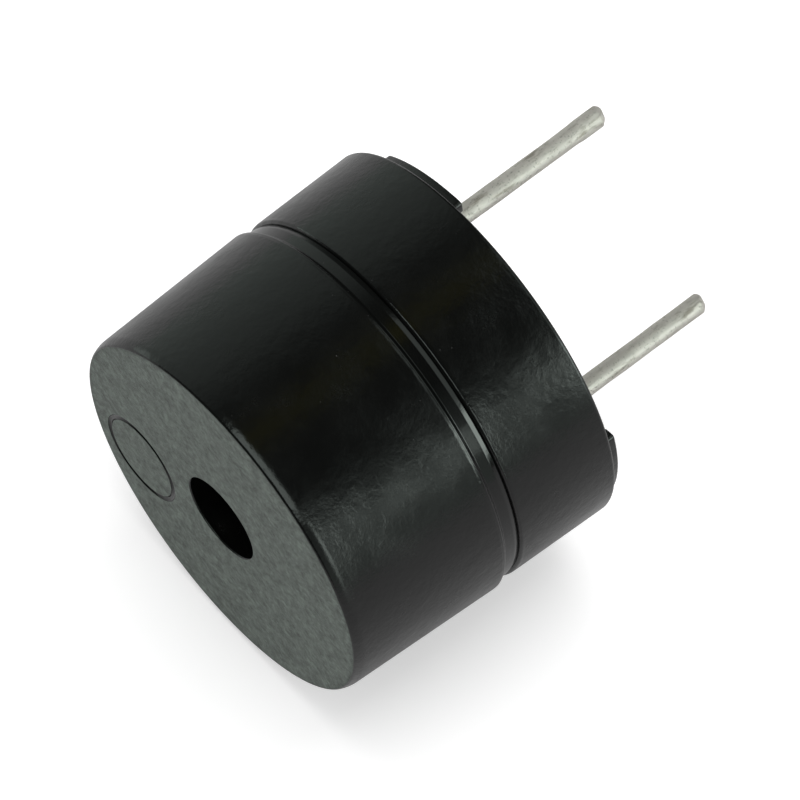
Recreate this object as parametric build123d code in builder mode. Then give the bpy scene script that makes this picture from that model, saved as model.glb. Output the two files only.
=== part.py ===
"""Round electromagnetic buzzer for through-hole circuit boards, with its own oscillator.

Millimetres. The origin is the middle of the plane that the three standoffs rest on, which is the
top of the circuit board that the buzzer is soldered to. +Z runs up the body's axis to the sounding
face, the two pins point down and +X goes to the negative pin.
"""
import os
from math import cos, degrees, hypot, radians, sin

from build123d import *

os.makedirs("parts", exist_ok=True)

# Case, outside
body_diameter = 12.0          # widest, at the front case's lip and at the back
overall_height = 9.4          # standoffs to sounding face
rear_case_height = 3.35       # back plane to parting line
face_taper = 0.2              # the radius is this much less at the sounding face
rear_taper = 0.07             # the radius is this much less at the parting line
band_width = 0.62             # recessed band beside the parting line
band_depth = 0.14
band_ramp = 0.12
face_edge_bevel = 0.25        # in two steps
face_edge_share = 0.29
back_edge_bevel = 0.12
seam_edge_bevel = 0.1
small_bevel = 0.05
sound_hole_diameter = 2.7

# Ring left by the mould on the sounding face
mould_ring_line = 0.18
mould_ring_depth = 0.06
mould_ring_hole_gap = 0.9     # off the sound hole's edge
mould_ring_edge_gap = 0.33    # off the face's bevelled edge
mould_ring_angle = 85.6

# Standoffs on the back
standoff_height = 0.3
standoff_inset = 0.25         # in from the body's radius
standoff_width = 0.45
standoff_span = 36.0          # degrees
standoff_count = 3
standoff_corner = 0.12

# Case, inside
front_wall = 0.9
rear_wall = 1.05
bore_gap = 0.05               # around the board and the yoke
yoke_shoulder = 0.3           # ledge that the yoke stops against
spigot_wall = 0.5
seat_lip_width = 0.2          # rim that centres the diaphragm
seat_lip_height = 0.2
skirt_gap = 0.05              # front case over the rear case's spigot
shoulder_gap = 0.05           # front case above the spigot's rim
hold_width = 0.15             # front case over the diaphragm's edge
chamber_taper = 0.1
chamber_bevel = 0.3

# Sounding parts
diaphragm_gap = 0.05
diaphragm_thickness = 0.06
armature_share = 0.41         # of the diaphragm's radius
armature_thickness = 0.4
pole_gap = 0.35               # pole to diaphragm
core_share = 0.35             # of the windings' radius
core_proud = 0.2              # pole above the windings
tenon_share = 0.69            # of the core's radius; it is riveted through the yoke
rivet_share = 0.95
rivet_height = 0.25
yoke_thickness = 0.7
magnet_gap = 0.05
magnet_bore_share = 0.73      # of the magnet's radius
magnet_height = 1.7
magnet_bevel = 0.1
winding_gap = 0.05            # lacquer on the core
winding_height = 1.7
winding_share = 0.81          # of the magnet's bore
feedback_thickness = 0.4      # the drive winding fills the rest

# Circuit board and what is on it
board_thickness = 0.6
copper_thickness = 0.05
board_hole_gap = 0.15         # around the rivet
trace_width = 0.25
pin_pad_diameter = 1.3
lead_pad_diameter = 0.7
lead_pad_gap = 0.1
lead_diameter = 0.1
lead_hole_gap = 0.05
lead_middle_angle = 90.0
lead_rise = 0.3               # above the yoke, where a lead leaves the winding
lead_end = 0.05               # below its solder
notch_side = 0.4              # yoke's notch, beside the outer leads
notch_gap = 0.15              # yoke's notch, behind them
lead_solder_height = 0.3
pin_solder_height = 0.45
transistor_angle = 235.0
transistor_place_share = 0.56  # of the board's radius
transistor_length = 2.9
transistor_width = 1.3
transistor_height = 0.9
transistor_lift = 0.05
transistor_bevel = 0.1
gull_reach = 0.3              # out from the body to the bend
gull_toe = 0.55               # out from the body to the end
gull_width = 0.4
gull_thickness = 0.12
gull_pitch = 1.9
chip_pad = 0.6
resistor_angle = 315.0
resistor_place_share = 0.61
resistor_length = 1.6
resistor_width = 0.8
resistor_height = 0.45
resistor_cap = 0.3
base_trace_share = 0.56
feedback_trace_inset = 0.35   # inside the circle of the leads

# Pins and the resin behind the board
pin_inset = 2.2               # case's side to a pin's axis: the pins are 7.6 apart
pin_wire_diameter = 0.58
tin_coat = 0.01               # dipped up to the seating plane
negative_pin_reach = 5.65     # below the seating plane
positive_pin_reach = 6.4
pin_tip_bevel = 0.12
pin_above_board = 0.2
pin_hole_gap = 0.05
pin_yoke_gap = 0.35
resin_recess = 0.2            # below the case's back plane
resin_cover = 0.1             # over the transistor
meniscus_width = 0.35
meniscus_rise = 0.1

# Heights
back_z = standoff_height
seam_z = back_z + rear_case_height
band_top_z = seam_z + band_width
resin_z = back_z + resin_recess
copper_z = resin_z + resin_cover + transistor_height + transistor_lift
board_z = copper_z + copper_thickness
board_top_z = board_z + board_thickness
yoke_top_z = board_top_z + yoke_thickness
winding_top_z = yoke_top_z + winding_height
core_top_z = winding_top_z + core_proud
seat_z = core_top_z + pole_gap
spigot_top_z = seat_z + seat_lip_height
shoulder_z = spigot_top_z + shoulder_gap
chamber_top_z = overall_height - front_wall
diaphragm_top_z = seat_z + diaphragm_thickness
pin_top_z = board_top_z + pin_above_board
lead_out_z = yoke_top_z + lead_rise
lead_end_z = copper_z - lead_solder_height - lead_end

# Radii
body_r = body_diameter / 2
face_r = body_r - face_taper
band_r = body_r - band_depth
rear_front_r = body_r - rear_taper
hole_r = sound_hole_diameter / 2
bore_r = body_r - rear_wall
board_r = bore_r - bore_gap
magnet_bore_r = bore_r - yoke_shoulder
magnet_r = magnet_bore_r - magnet_gap
magnet_inner_r = magnet_r * magnet_bore_share
spigot_r = magnet_bore_r + spigot_wall
seat_lip_r = spigot_r - seat_lip_width
diaphragm_r = seat_lip_r - diaphragm_gap
skirt_r = spigot_r + skirt_gap
chamber_r = diaphragm_r - hold_width
chamber_top_r = chamber_r - chamber_taper
standoff_outer_r = body_r - standoff_inset
standoff_inner_r = standoff_outer_r - standoff_width
armature_r = diaphragm_r * armature_share
feedback_r = magnet_inner_r * winding_share
drive_r = feedback_r - feedback_thickness
core_r = feedback_r * core_share
tenon_r = core_r * tenon_share
rivet_r = core_r * rivet_share
winding_inner_r = core_r + winding_gap
wire_r = pin_wire_diameter / 2
tin_r = wire_r + tin_coat
pin_x = body_r - pin_inset
pin_pad_r = pin_pad_diameter / 2
lead_r = lead_diameter / 2
lead_pad_r = lead_pad_diameter / 2
lead_circle_r = feedback_r    # the leads lie half sunk in the winding's side
transistor_r = board_r * transistor_place_share
resistor_r = board_r * resistor_place_share
gull_tip_r = transistor_width / 2 + gull_toe


def polar(radius, angle, height=0.0):
    """A point by its radius and angle about the body's axis."""
    return (radius * cos(radians(angle)), radius * sin(radians(angle)), height)


def flat(radius, angle):
    """The same in a sketch."""
    return (radius * cos(radians(angle)), radius * sin(radians(angle)))


def upright(place):
    """An upright plane through a place on the board, for a profile that is turned about it."""
    return Plane(origin=(*place, 0), x_dir=(1, 0, 0), z_dir=(0, -1, 0))


def chip_plane(radius, angle, along):
    """An upright plane across a chip: x runs outward, y up, and along moves it sideways."""
    outward = Vector(cos(radians(angle)), sin(radians(angle)), 0)
    sideways = Vector(-sin(radians(angle)), cos(radians(angle)), 0)
    return Plane(origin=outward * radius + sideways * along, x_dir=outward, z_dir=-sideways)


# Front case: the drafted cup with the sound hole, its lip and the recessed band
face_edge_step = face_edge_bevel * face_edge_share
front_points = [
    (hole_r, overall_height - small_bevel),
    (hole_r + small_bevel, overall_height),
    (face_r - face_edge_bevel, overall_height),
    (face_r - face_edge_step, overall_height - face_edge_step),
    (face_r, overall_height - face_edge_bevel),
    (body_r, band_top_z),
    (band_r, band_top_z - band_ramp),
    (band_r, seam_z + small_bevel),
    (band_r - small_bevel, seam_z),
    (skirt_r, seam_z),
    (skirt_r, shoulder_z),
    (chamber_r, shoulder_z),
    (chamber_top_r, chamber_top_z - chamber_bevel),
    (chamber_top_r - chamber_bevel, chamber_top_z),
    (hole_r, chamber_top_z),
]
ring_near_r = hole_r + small_bevel + mould_ring_hole_gap
ring_far_r = face_r - face_edge_bevel - mould_ring_edge_gap
ring_place = flat((ring_near_r + ring_far_r) / 2, mould_ring_angle)
ring_outer_r = (ring_far_r - ring_near_r) / 2
ring_inner_r = ring_outer_r - mould_ring_line
with BuildPart() as front_case:
    with BuildSketch(Plane.XZ):
        with BuildLine():
            Polyline(*front_points, close=True)
        make_face()
    revolve(axis=Axis.Z)
    with BuildSketch(Plane.XY.offset(overall_height)):
        with Locations(ring_place):
            Circle(ring_outer_r)
            Circle(ring_inner_r, mode=Mode.SUBTRACT)
    extrude(amount=-mould_ring_depth, mode=Mode.SUBTRACT)
front_case.part.label = "front_case"
export_step(front_case.part, "parts/front_case.step")

# Rear case: the tube that takes the stack from behind, with the spigot and the diaphragm's seat
rear_points = [
    (bore_r, back_z),
    (body_r - back_edge_bevel, back_z),
    (body_r, back_z + back_edge_bevel),
    (rear_front_r, seam_z - seam_edge_bevel),
    (rear_front_r - seam_edge_bevel, seam_z),
    (spigot_r, seam_z),
    (spigot_r, spigot_top_z - small_bevel),
    (spigot_r - small_bevel, spigot_top_z),
    (seat_lip_r, spigot_top_z),
    (seat_lip_r, seat_z),
    (magnet_bore_r, seat_z),
    (magnet_bore_r, yoke_top_z),
    (bore_r, yoke_top_z),
]
standoff_outer = CenterArc((0, 0), standoff_outer_r, -standoff_span / 2, standoff_span)
standoff_inner = CenterArc((0, 0), standoff_inner_r, -standoff_span / 2, standoff_span)
with BuildSketch() as standoff:
    with BuildLine():
        add(standoff_outer)
        add(standoff_inner)
        Line(standoff_outer @ 0, standoff_inner @ 0)
        Line(standoff_outer @ 1, standoff_inner @ 1)
    make_face()
    fillet(standoff.vertices(), standoff_corner)
with BuildPart() as rear_case:
    with BuildSketch(Plane.XZ):
        with BuildLine():
            Polyline(*rear_points, close=True)
        make_face()
    revolve(axis=Axis.Z)
    with BuildSketch(Plane.XY):
        with PolarLocations(0, standoff_count):
            add(standoff.sketch)
    extrude(amount=standoff_height)
rear_case.part.label = "rear_case"
export_step(rear_case.part, "parts/rear_case.step")

# Diaphragm, lying on its seat, and the armature disc welded on its middle
with BuildPart() as diaphragm:
    with BuildSketch(Plane.XY.offset(seat_z)):
        Circle(diaphragm_r)
    extrude(amount=diaphragm_thickness)
diaphragm.part.label = "diaphragm"
export_step(diaphragm.part, "parts/diaphragm.step")

with BuildPart() as armature_disc:
    with BuildSketch(Plane.XY.offset(diaphragm_top_z)):
        Circle(armature_r)
    extrude(amount=armature_thickness)
armature_disc.part.label = "armature_disc"
export_step(armature_disc.part, "parts/armature_disc.step")

# Magnet ring on the yoke, round the windings
with BuildPart() as ring_magnet:
    with BuildSketch(Plane.XY.offset(yoke_top_z)):
        Circle(magnet_r)
        Circle(magnet_inner_r, mode=Mode.SUBTRACT)
    extrude(amount=magnet_height)
    chamfer(ring_magnet.edges().filter_by(GeomType.CIRCLE), magnet_bevel)
ring_magnet.part.label = "ring_magnet"
export_step(ring_magnet.part, "parts/ring_magnet.step")

# Pole core: riveted through the yoke, its head in the board's middle hole
core_points = [
    (0, board_top_z - rivet_height),
    (tenon_r, board_top_z - rivet_height),
    (rivet_r, board_top_z - small_bevel),
    (rivet_r, board_top_z),
    (tenon_r, board_top_z),
    (tenon_r, yoke_top_z),
    (core_r, yoke_top_z),
    (core_r, core_top_z - small_bevel),
    (core_r - small_bevel, core_top_z),
    (0, core_top_z),
]
with BuildPart() as pole_core:
    with BuildSketch(Plane.XZ):
        with BuildLine():
            Polyline(*core_points, close=True)
        make_face()
    revolve(axis=Axis.Z)
pole_core.part.label = "pole_core"
export_step(pole_core.part, "parts/pole_core.step")

# Places of the pins and of the three leads that come down the winding's side
lead_pitch = lead_pad_diameter + lead_pad_gap
lead_step = degrees(lead_pitch / lead_circle_r)
lead_angles = (lead_middle_angle - lead_step, lead_middle_angle, lead_middle_angle + lead_step)
lead_places = [flat(lead_circle_r, lead_angle) for lead_angle in lead_angles]
pin_places = [(pin_x, 0), (-pin_x, 0)]

# Yoke plate, with holes over the pins and a notch for the leads
pin_clear_r = wire_r + pin_yoke_gap
notch_width = 2 * (lead_pitch + notch_side)
notch_y = lead_circle_r * cos(radians(lead_step)) - lead_r - notch_gap
with BuildPart() as yoke_plate:
    with BuildSketch(Plane.XY.offset(board_top_z)):
        Circle(board_r)
        Circle(tenon_r, mode=Mode.SUBTRACT)
        with Locations(*pin_places):
            Circle(pin_clear_r, mode=Mode.SUBTRACT)
        with Locations((0, notch_y)):
            Rectangle(notch_width, body_r, align=(Align.CENTER, Align.MIN), mode=Mode.SUBTRACT)
    extrude(amount=yoke_thickness)
yoke_plate.part.label = "yoke_plate"
export_step(yoke_plate.part, "parts/yoke_plate.step")

# Leads from the windings, down through the notch and the board
with BuildPart() as coil_leads:
    with BuildSketch(Plane.XY.offset(lead_end_z)):
        with Locations(*lead_places):
            Circle(lead_r)
    extrude(amount=lead_out_z - lead_end_z)
coil_leads.part.label = "coil_leads"
export_step(coil_leads.part, "parts/coil_leads.step")

# Drive winding next to the core, feedback winding over it
with BuildPart() as drive_winding:
    with BuildSketch(Plane.XY.offset(yoke_top_z)):
        Circle(drive_r)
        Circle(winding_inner_r, mode=Mode.SUBTRACT)
    extrude(amount=winding_height)
drive_winding.part.label = "drive_winding"
export_step(drive_winding.part, "parts/drive_winding.step")

with BuildPart() as feedback_winding:
    with BuildSketch(Plane.XY.offset(yoke_top_z)):
        Circle(feedback_r)
        Circle(drive_r, mode=Mode.SUBTRACT)
    extrude(amount=winding_height)
    add(coil_leads.part, mode=Mode.SUBTRACT)
feedback_winding.part.label = "feedback_winding"
export_step(feedback_winding.part, "parts/feedback_winding.step")

# Circuit board, copper on its back only
board_hole_r = rivet_r + board_hole_gap
pin_hole_r = wire_r + pin_hole_gap
lead_hole_r = lead_r + lead_hole_gap
with BuildPart() as circuit_board:
    with BuildSketch(Plane.XY.offset(board_z)):
        Circle(board_r)
        Circle(board_hole_r, mode=Mode.SUBTRACT)
        with Locations(*pin_places):
            Circle(pin_hole_r, mode=Mode.SUBTRACT)
        with Locations(*lead_places):
            Circle(lead_hole_r, mode=Mode.SUBTRACT)
    extrude(amount=board_thickness)
circuit_board.part.label = "circuit_board"
export_step(circuit_board.part, "parts/circuit_board.step")

# Copper: lands and traces. Feedback lead to resistor, drive lead to collector, common lead to the
# positive pin, resistor to base, emitter to the negative pin.
feedback_lead, drive_lead, common_lead = lead_angles
foot_r = transistor_width / 2 + (gull_reach + gull_toe) / 2
collector_r = transistor_r - foot_r
emitter = chip_plane(transistor_r, transistor_angle, gull_pitch / 2).from_local_coords((foot_r, 0, 0))
base = chip_plane(transistor_r, transistor_angle, -gull_pitch / 2).from_local_coords((foot_r, 0, 0))
cap_along = (resistor_length - resistor_cap) / 2
base_cap = chip_plane(resistor_r, resistor_angle, -cap_along).from_local_coords((0, 0, 0))
feedback_cap = chip_plane(resistor_r, resistor_angle, cap_along).from_local_coords((0, 0, 0))
base_angle = 360 + Vector(base.X, base.Y).get_signed_angle(Vector(1, 0), Vector(0, 0, -1))
emitter_angle = 360 + Vector(emitter.X, emitter.Y).get_signed_angle(Vector(1, 0), Vector(0, 0, -1))
base_cap_angle = 360 + Vector(base_cap.X, base_cap.Y).get_signed_angle(Vector(1, 0), Vector(0, 0, -1))
feedback_cap_angle = Vector(feedback_cap.X, feedback_cap.Y).get_signed_angle(Vector(1, 0), Vector(0, 0, -1))
base_r = board_r * base_trace_share
feedback_trace_r = lead_circle_r - feedback_trace_inset
ground_r = hypot(emitter.X, emitter.Y)
traces = [
    CenterArc((0, 0), lead_circle_r, common_lead, 180 - common_lead),
    Line(flat(lead_circle_r, 180), (-pin_x, 0)),
    CenterArc((0, 0), collector_r, drive_lead, transistor_angle - drive_lead),
    Line(flat(collector_r, drive_lead), flat(lead_circle_r, drive_lead)),
    CenterArc((0, 0), feedback_trace_r, feedback_cap_angle, feedback_lead - feedback_cap_angle),
    Line(flat(feedback_trace_r, feedback_lead), flat(lead_circle_r, feedback_lead)),
    Line(flat(feedback_trace_r, feedback_cap_angle), (feedback_cap.X, feedback_cap.Y)),
    CenterArc((0, 0), base_r, base_angle, base_cap_angle - base_angle),
    Line(flat(base_r, base_angle), (base.X, base.Y)),
    Line(flat(base_r, base_cap_angle), (base_cap.X, base_cap.Y)),
    CenterArc((0, 0), ground_r, emitter_angle, 360 - emitter_angle),
]
with BuildPart() as board_copper:
    with BuildSketch(Plane.XY.offset(copper_z)):
        for trace in traces:
            SlotArc(trace, trace_width)
        with Locations(*pin_places):
            Circle(pin_pad_r)
        with Locations(*lead_places):
            Circle(lead_pad_r)
        with Locations(Location(polar(collector_r, transistor_angle), (0, 0, transistor_angle))):
            Rectangle(chip_pad, chip_pad)
        with Locations(Location((base.X, base.Y), (0, 0, transistor_angle))):
            Rectangle(chip_pad, chip_pad)
        with Locations(Location((emitter.X, emitter.Y), (0, 0, transistor_angle))):
            Rectangle(chip_pad, chip_pad)
        with Locations(Location((base_cap.X, base_cap.Y), (0, 0, resistor_angle))):
            Rectangle(resistor_width, chip_pad)
        with Locations(Location((feedback_cap.X, feedback_cap.Y), (0, 0, resistor_angle))):
            Rectangle(resistor_width, chip_pad)
        with Locations(*pin_places):
            Circle(pin_hole_r, mode=Mode.SUBTRACT)
        with Locations(*lead_places):
            Circle(lead_hole_r, mode=Mode.SUBTRACT)
    extrude(amount=copper_thickness)
board_copper.part.label = "board_copper"
export_step(board_copper.part, "parts/board_copper.step")

# Transistor: moulded body and three gull-wing leads
body_z = copper_z - transistor_lift
exit_z = body_z - transistor_height / 2
with BuildPart() as transistor_body:
    with Locations(Location(polar(transistor_r, transistor_angle, exit_z), (0, 0, transistor_angle))):
        Box(transistor_width, transistor_length, transistor_height)
    chamfer(transistor_body.faces().sort_by(Axis.Z)[0].edges(), transistor_bevel)
transistor_body.part.label = "transistor_body"
export_step(transistor_body.part, "parts/transistor_body.step")

gull_in = transistor_width / 2
gull_bend = gull_in + gull_reach
gull_points = [
    (gull_in, exit_z - gull_thickness / 2),
    (gull_bend, exit_z - gull_thickness / 2),
    (gull_bend, copper_z - gull_thickness),
    (gull_tip_r, copper_z - gull_thickness),
    (gull_tip_r, copper_z),
    (gull_bend - gull_thickness, copper_z),
    (gull_bend - gull_thickness, exit_z + gull_thickness / 2),
    (gull_in, exit_z + gull_thickness / 2),
]
gull_planes = [
    chip_plane(transistor_r, transistor_angle, gull_pitch / 2),
    chip_plane(transistor_r, transistor_angle, -gull_pitch / 2),
]
mirrored_points = [(-x, z) for x, z in gull_points]
with BuildPart() as transistor_leads:
    for gull_plane in gull_planes:
        with BuildSketch(gull_plane):
            with BuildLine():
                Polyline(*gull_points, close=True)
            make_face()
        extrude(amount=gull_width / 2, both=True)
    with BuildSketch(chip_plane(transistor_r, transistor_angle, 0)):
        with BuildLine():
            Polyline(*mirrored_points, close=True)
        make_face()
    extrude(amount=gull_width / 2, both=True)
transistor_leads.part.label = "transistor_leads"
export_step(transistor_leads.part, "parts/transistor_leads.step")

# Chip resistor: ceramic body between two end caps
resistor_z = copper_z - resistor_height / 2
with BuildPart() as resistor_body:
    with Locations(Location(polar(resistor_r, resistor_angle, resistor_z), (0, 0, resistor_angle))):
        Box(resistor_width, resistor_length - resistor_cap - resistor_cap, resistor_height)
resistor_body.part.label = "resistor_body"
export_step(resistor_body.part, "parts/resistor_body.step")

with BuildPart() as resistor_caps:
    for cap_centre in (base_cap, feedback_cap):
        with Locations(Location((cap_centre.X, cap_centre.Y, resistor_z), (0, 0, resistor_angle))):
            Box(resistor_width, resistor_cap, resistor_height)
resistor_caps.part.label = "resistor_caps"
export_step(resistor_caps.part, "parts/resistor_caps.step")

# Pins: drawn wire, tin-dipped up to the seating plane
with BuildPart() as negative_pin:
    with BuildSketch(Plane.XY):
        with Locations((pin_x, 0)):
            Circle(tin_r)
    extrude(amount=-negative_pin_reach)
    chamfer(negative_pin.faces().sort_by(Axis.Z)[0].edges(), pin_tip_bevel)
    with BuildSketch(Plane.XY):
        with Locations((pin_x, 0)):
            Circle(wire_r)
    extrude(amount=pin_top_z)
negative_pin.part.label = "negative_pin"
export_step(negative_pin.part, "parts/negative_pin.step")

with BuildPart() as positive_pin:
    with BuildSketch(Plane.XY):
        with Locations((-pin_x, 0)):
            Circle(tin_r)
    extrude(amount=-positive_pin_reach)
    chamfer(positive_pin.faces().sort_by(Axis.Z)[0].edges(), pin_tip_bevel)
    with BuildSketch(Plane.XY):
        with Locations((-pin_x, 0)):
            Circle(wire_r)
    extrude(amount=pin_top_z)
positive_pin.part.label = "positive_pin"
export_step(positive_pin.part, "parts/positive_pin.step")

# Solder: a cone round each pin and each lead
pin_cone = [(wire_r, copper_z), (pin_pad_r, copper_z), (wire_r, copper_z - pin_solder_height)]
lead_cone = [(lead_r, copper_z), (lead_pad_r, copper_z), (lead_r, copper_z - lead_solder_height)]
with BuildPart() as pin_solder:
    for place in pin_places:
        with BuildSketch(upright(place)):
            with BuildLine():
                Polyline(*pin_cone, close=True)
            make_face()
        revolve(axis=Axis((*place, 0), (0, 0, 1)))
pin_solder.part.label = "pin_solder"
export_step(pin_solder.part, "parts/pin_solder.step")

with BuildPart() as lead_solder:
    for place in lead_places:
        with BuildSketch(upright(place)):
            with BuildLine():
                Polyline(*lead_cone, close=True)
            make_face()
        revolve(axis=Axis((*place, 0), (0, 0, 1)))
lead_solder.part.label = "lead_solder"
export_step(lead_solder.part, "parts/lead_solder.step")

# Casting resin behind the board, round everything that stands in it
resin_points = [
    (0, resin_z),
    (bore_r - meniscus_width, resin_z),
    (bore_r, resin_z - meniscus_rise),
    (bore_r, board_z),
    (0, board_z),
]
with BuildPart() as resin_seal:
    with BuildSketch(Plane.XZ):
        with BuildLine():
            Polyline(*resin_points, close=True)
        make_face()
    revolve(axis=Axis.Z)
    with BuildSketch(Plane.XY.offset(copper_z)):
        with Locations(*pin_places):
            Circle(pin_pad_r)
        with Locations(*lead_places):
            Circle(lead_pad_r)
    extrude(amount=copper_thickness, mode=Mode.SUBTRACT)
    add(board_copper.part, mode=Mode.SUBTRACT)
    add(transistor_body.part, mode=Mode.SUBTRACT)
    add(transistor_leads.part, mode=Mode.SUBTRACT)
    add(resistor_body.part, mode=Mode.SUBTRACT)
    add(resistor_caps.part, mode=Mode.SUBTRACT)
    add(negative_pin.part, mode=Mode.SUBTRACT)
    add(positive_pin.part, mode=Mode.SUBTRACT)
    add(pin_solder.part, mode=Mode.SUBTRACT)
    add(lead_solder.part, mode=Mode.SUBTRACT)
    add(coil_leads.part, mode=Mode.SUBTRACT)
resin_seal.part.label = "resin_seal"
export_step(resin_seal.part, "parts/resin_seal.step")
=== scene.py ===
import math

import bmesh
import bpy
from mathutils import Matrix, Vector, noise


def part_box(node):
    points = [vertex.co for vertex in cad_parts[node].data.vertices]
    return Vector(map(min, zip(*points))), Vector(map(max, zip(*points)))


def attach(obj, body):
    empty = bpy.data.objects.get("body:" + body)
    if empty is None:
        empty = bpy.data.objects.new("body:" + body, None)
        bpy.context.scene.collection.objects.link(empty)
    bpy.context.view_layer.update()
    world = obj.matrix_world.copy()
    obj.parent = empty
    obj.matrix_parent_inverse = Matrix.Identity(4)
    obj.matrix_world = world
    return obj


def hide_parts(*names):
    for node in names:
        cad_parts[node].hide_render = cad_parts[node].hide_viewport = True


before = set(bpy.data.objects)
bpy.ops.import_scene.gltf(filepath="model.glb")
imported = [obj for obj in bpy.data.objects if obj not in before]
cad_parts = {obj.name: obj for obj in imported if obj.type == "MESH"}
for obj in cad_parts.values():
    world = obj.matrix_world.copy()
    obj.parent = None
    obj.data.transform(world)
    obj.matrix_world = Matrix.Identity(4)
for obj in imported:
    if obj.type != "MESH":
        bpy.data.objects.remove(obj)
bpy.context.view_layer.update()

# Looks of a round black buzzer: turned case, tinned pins, potted back, windings and board inside.
# Lengths are written in millimetres and turned into metres by MM. +Z goes to the sounding face, the pins
# point along -Z and +X goes to the short pin.
MM = 0.001

# Heights and radii that the frame gives
front_low, front_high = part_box("front_case")
rear_low, rear_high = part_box("rear_case")
FACE_Z = front_high.z / MM
SEAM_Z = front_low.z / MM
BODY_R = -rear_low.x / MM
SPIGOT_TOP_Z = rear_high.z / MM
BOARD_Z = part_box("circuit_board")[0].z / MM
YOKE_TOP_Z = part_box("yoke_plate")[1].z / MM
SEAT_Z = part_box("diaphragm")[0].z / MM
SHORT_TIP_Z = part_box("negative_pin")[0].z / MM
LONG_TIP_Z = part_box("positive_pin")[0].z / MM
PIN_TOP_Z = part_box("negative_pin")[1].z / MM
PIN_X = (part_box("negative_pin")[0].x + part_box("negative_pin")[1].x) / 2 / MM

# Case, outside
STANDOFF_HEIGHT = 0.3
FACE_TAPER = 0.2
REAR_TAPER = 0.07
BAND_WIDTH = 0.62
BAND_DEPTH = 0.14
BAND_RAMP = 0.12
LIP_ROUND = 0.07
RAMP_FOOT_ROUND = 0.04
BAND_FOOT_HEIGHT = 0.17
BAND_FOOT_DEPTH = 0.035
FACE_EDGE_WIDTH = 0.09
FACE_EDGE_HEIGHT = 0.23
FACE_EDGE_ROUNDS = (0.1, 0.7)
BACK_EDGE_ROUND = 0.12
REAR_SEAM_ROUND = 0.1
BAND_SEAM_ROUND = 0.03
SMALL_ROUND = 0.05
HOLE_R = 1.35
RING_OUTER_R = 1.46
RING_LINE = 0.18
RING_DEPTH = 0.06
RING_OFFSET = 3.76
RING_ANGLE = 85.6
STANDOFF_INSET = 0.25
STANDOFF_OUTER_R = BODY_R - STANDOFF_INSET
STANDOFF_WIDTH = 0.45
STANDOFF_SPAN = 36.0
STANDOFF_CORNER = 0.12
STANDOFF_EDGE = 0.06
STANDOFF_COUNT = 3
STANDOFF_STEPS = 16           # along one standoff's arc
CASE_SEGMENTS = 384
CASE_ROUND_STEPS = 9
RING_STEPS = 120              # around the ring, and around its section
RING_SIDES = 14

# Case, inside
FRONT_WALL = 0.9
BORE_R = 4.95
MAGNET_BORE_R = 4.65
SPIGOT_R = 5.15
SEAT_LIP_R = 4.95
SKIRT_R = 5.2
SHOULDER_GAP = 0.05
SHOULDER_Z = SPIGOT_TOP_Z + SHOULDER_GAP
CHAMBER_R = 4.75
CHAMBER_TOP_R = 4.65
CHAMBER_ROUND = 0.3

# Resin, pins and windings
RESIN_RECESS = 0.2
MENISCUS_WIDTH = 0.35
MENISCUS_RISE = 0.1
MENISCUS_ROUND = 1.2
RESIN_SEGMENTS = 192
RESIN_ROUND_STEPS = 8
WIRE_R = 0.29
TIN_R = 0.30
TIP_ROUND = 0.16
TIP_STEPS = 6
PIN_SIDES = 40
PIN_RING_PITCH = 0.1
PIN_SIDEWAYS = 0.135          # both pins leave the resin this far to one side
PIN_LEAN_ANGLE = -140.0
PIN_BEND_TOP = 1.15           # they go aside from this height, inside the resin
PIN_SETTLE = 0.65             # and over this length
TIN_EDGE = 0.2                # the dip ends here, above the seat
PIN_UNEVEN = 0.01
UNEVEN_AROUND = 1.2
UNEVEN_ALONG = 1.3
NIP_LENGTH = 1.2              # flattened by the cutter over this length
NIP_EASE = 0.3
CUT_ANGLE = -80.0
SHORT_NIP, SHORT_CUT = 0.1, 0.25
LONG_NIP, LONG_CUT = 0.03, 0.2
COIL_WIRE_R = 0.05
COIL_GAP = 0.05               # core to the first turn
TURN_SIDES = 40
WIRE_SIDES = 6
COUNT_SLACK = 1e-6            # keeps a whole number of turns from being rounded down
PIN_SHARP_ABOVE = 50.0
MERGE_DISTANCE = 1e-7         # metres
FLAT_WITHIN = 1e-9            # metres

# Colours of the case and the pins
SIDE_DARK, SIDE_LIGHT = (0.0015, 0.0017, 0.0016, 1), (0.0026, 0.0027, 0.0025, 1)
DUST = (0.05, 0.05, 0.048, 1)
FACE_DARK, FACE_LIGHT = (0.047, 0.057, 0.049, 1), (0.255, 0.307, 0.267, 1)
RIM_PAINTED_SHADE = (5.5, 5.95)        # painted shade: the face's colour darkens into the plain black between these radii, standing in for a wider rounded edge
TIN_DARK, TIN_LIGHT = (0.61, 0.58, 0.535, 1), (0.83, 0.785, 0.74, 1)
TARNISH = (0.35, 0.316, 0.265, 1)
PORE = (0.24, 0.224, 0.19, 1)

# Camera, fitted to the photograph
VIEW_AZIMUTH = 40.098
VIEW_ELEVATION = 17.440
VIEW_ROLL = -126.319
VIEW_DISTANCE = 439.117
VIEW_AIM = (0.075, -0.536, 3.389)
VIEW_LENS = 720.0
VIEW_SENSOR = 36.0
VIEW_CLIP = (0.01, 10.0)      # metres

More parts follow.
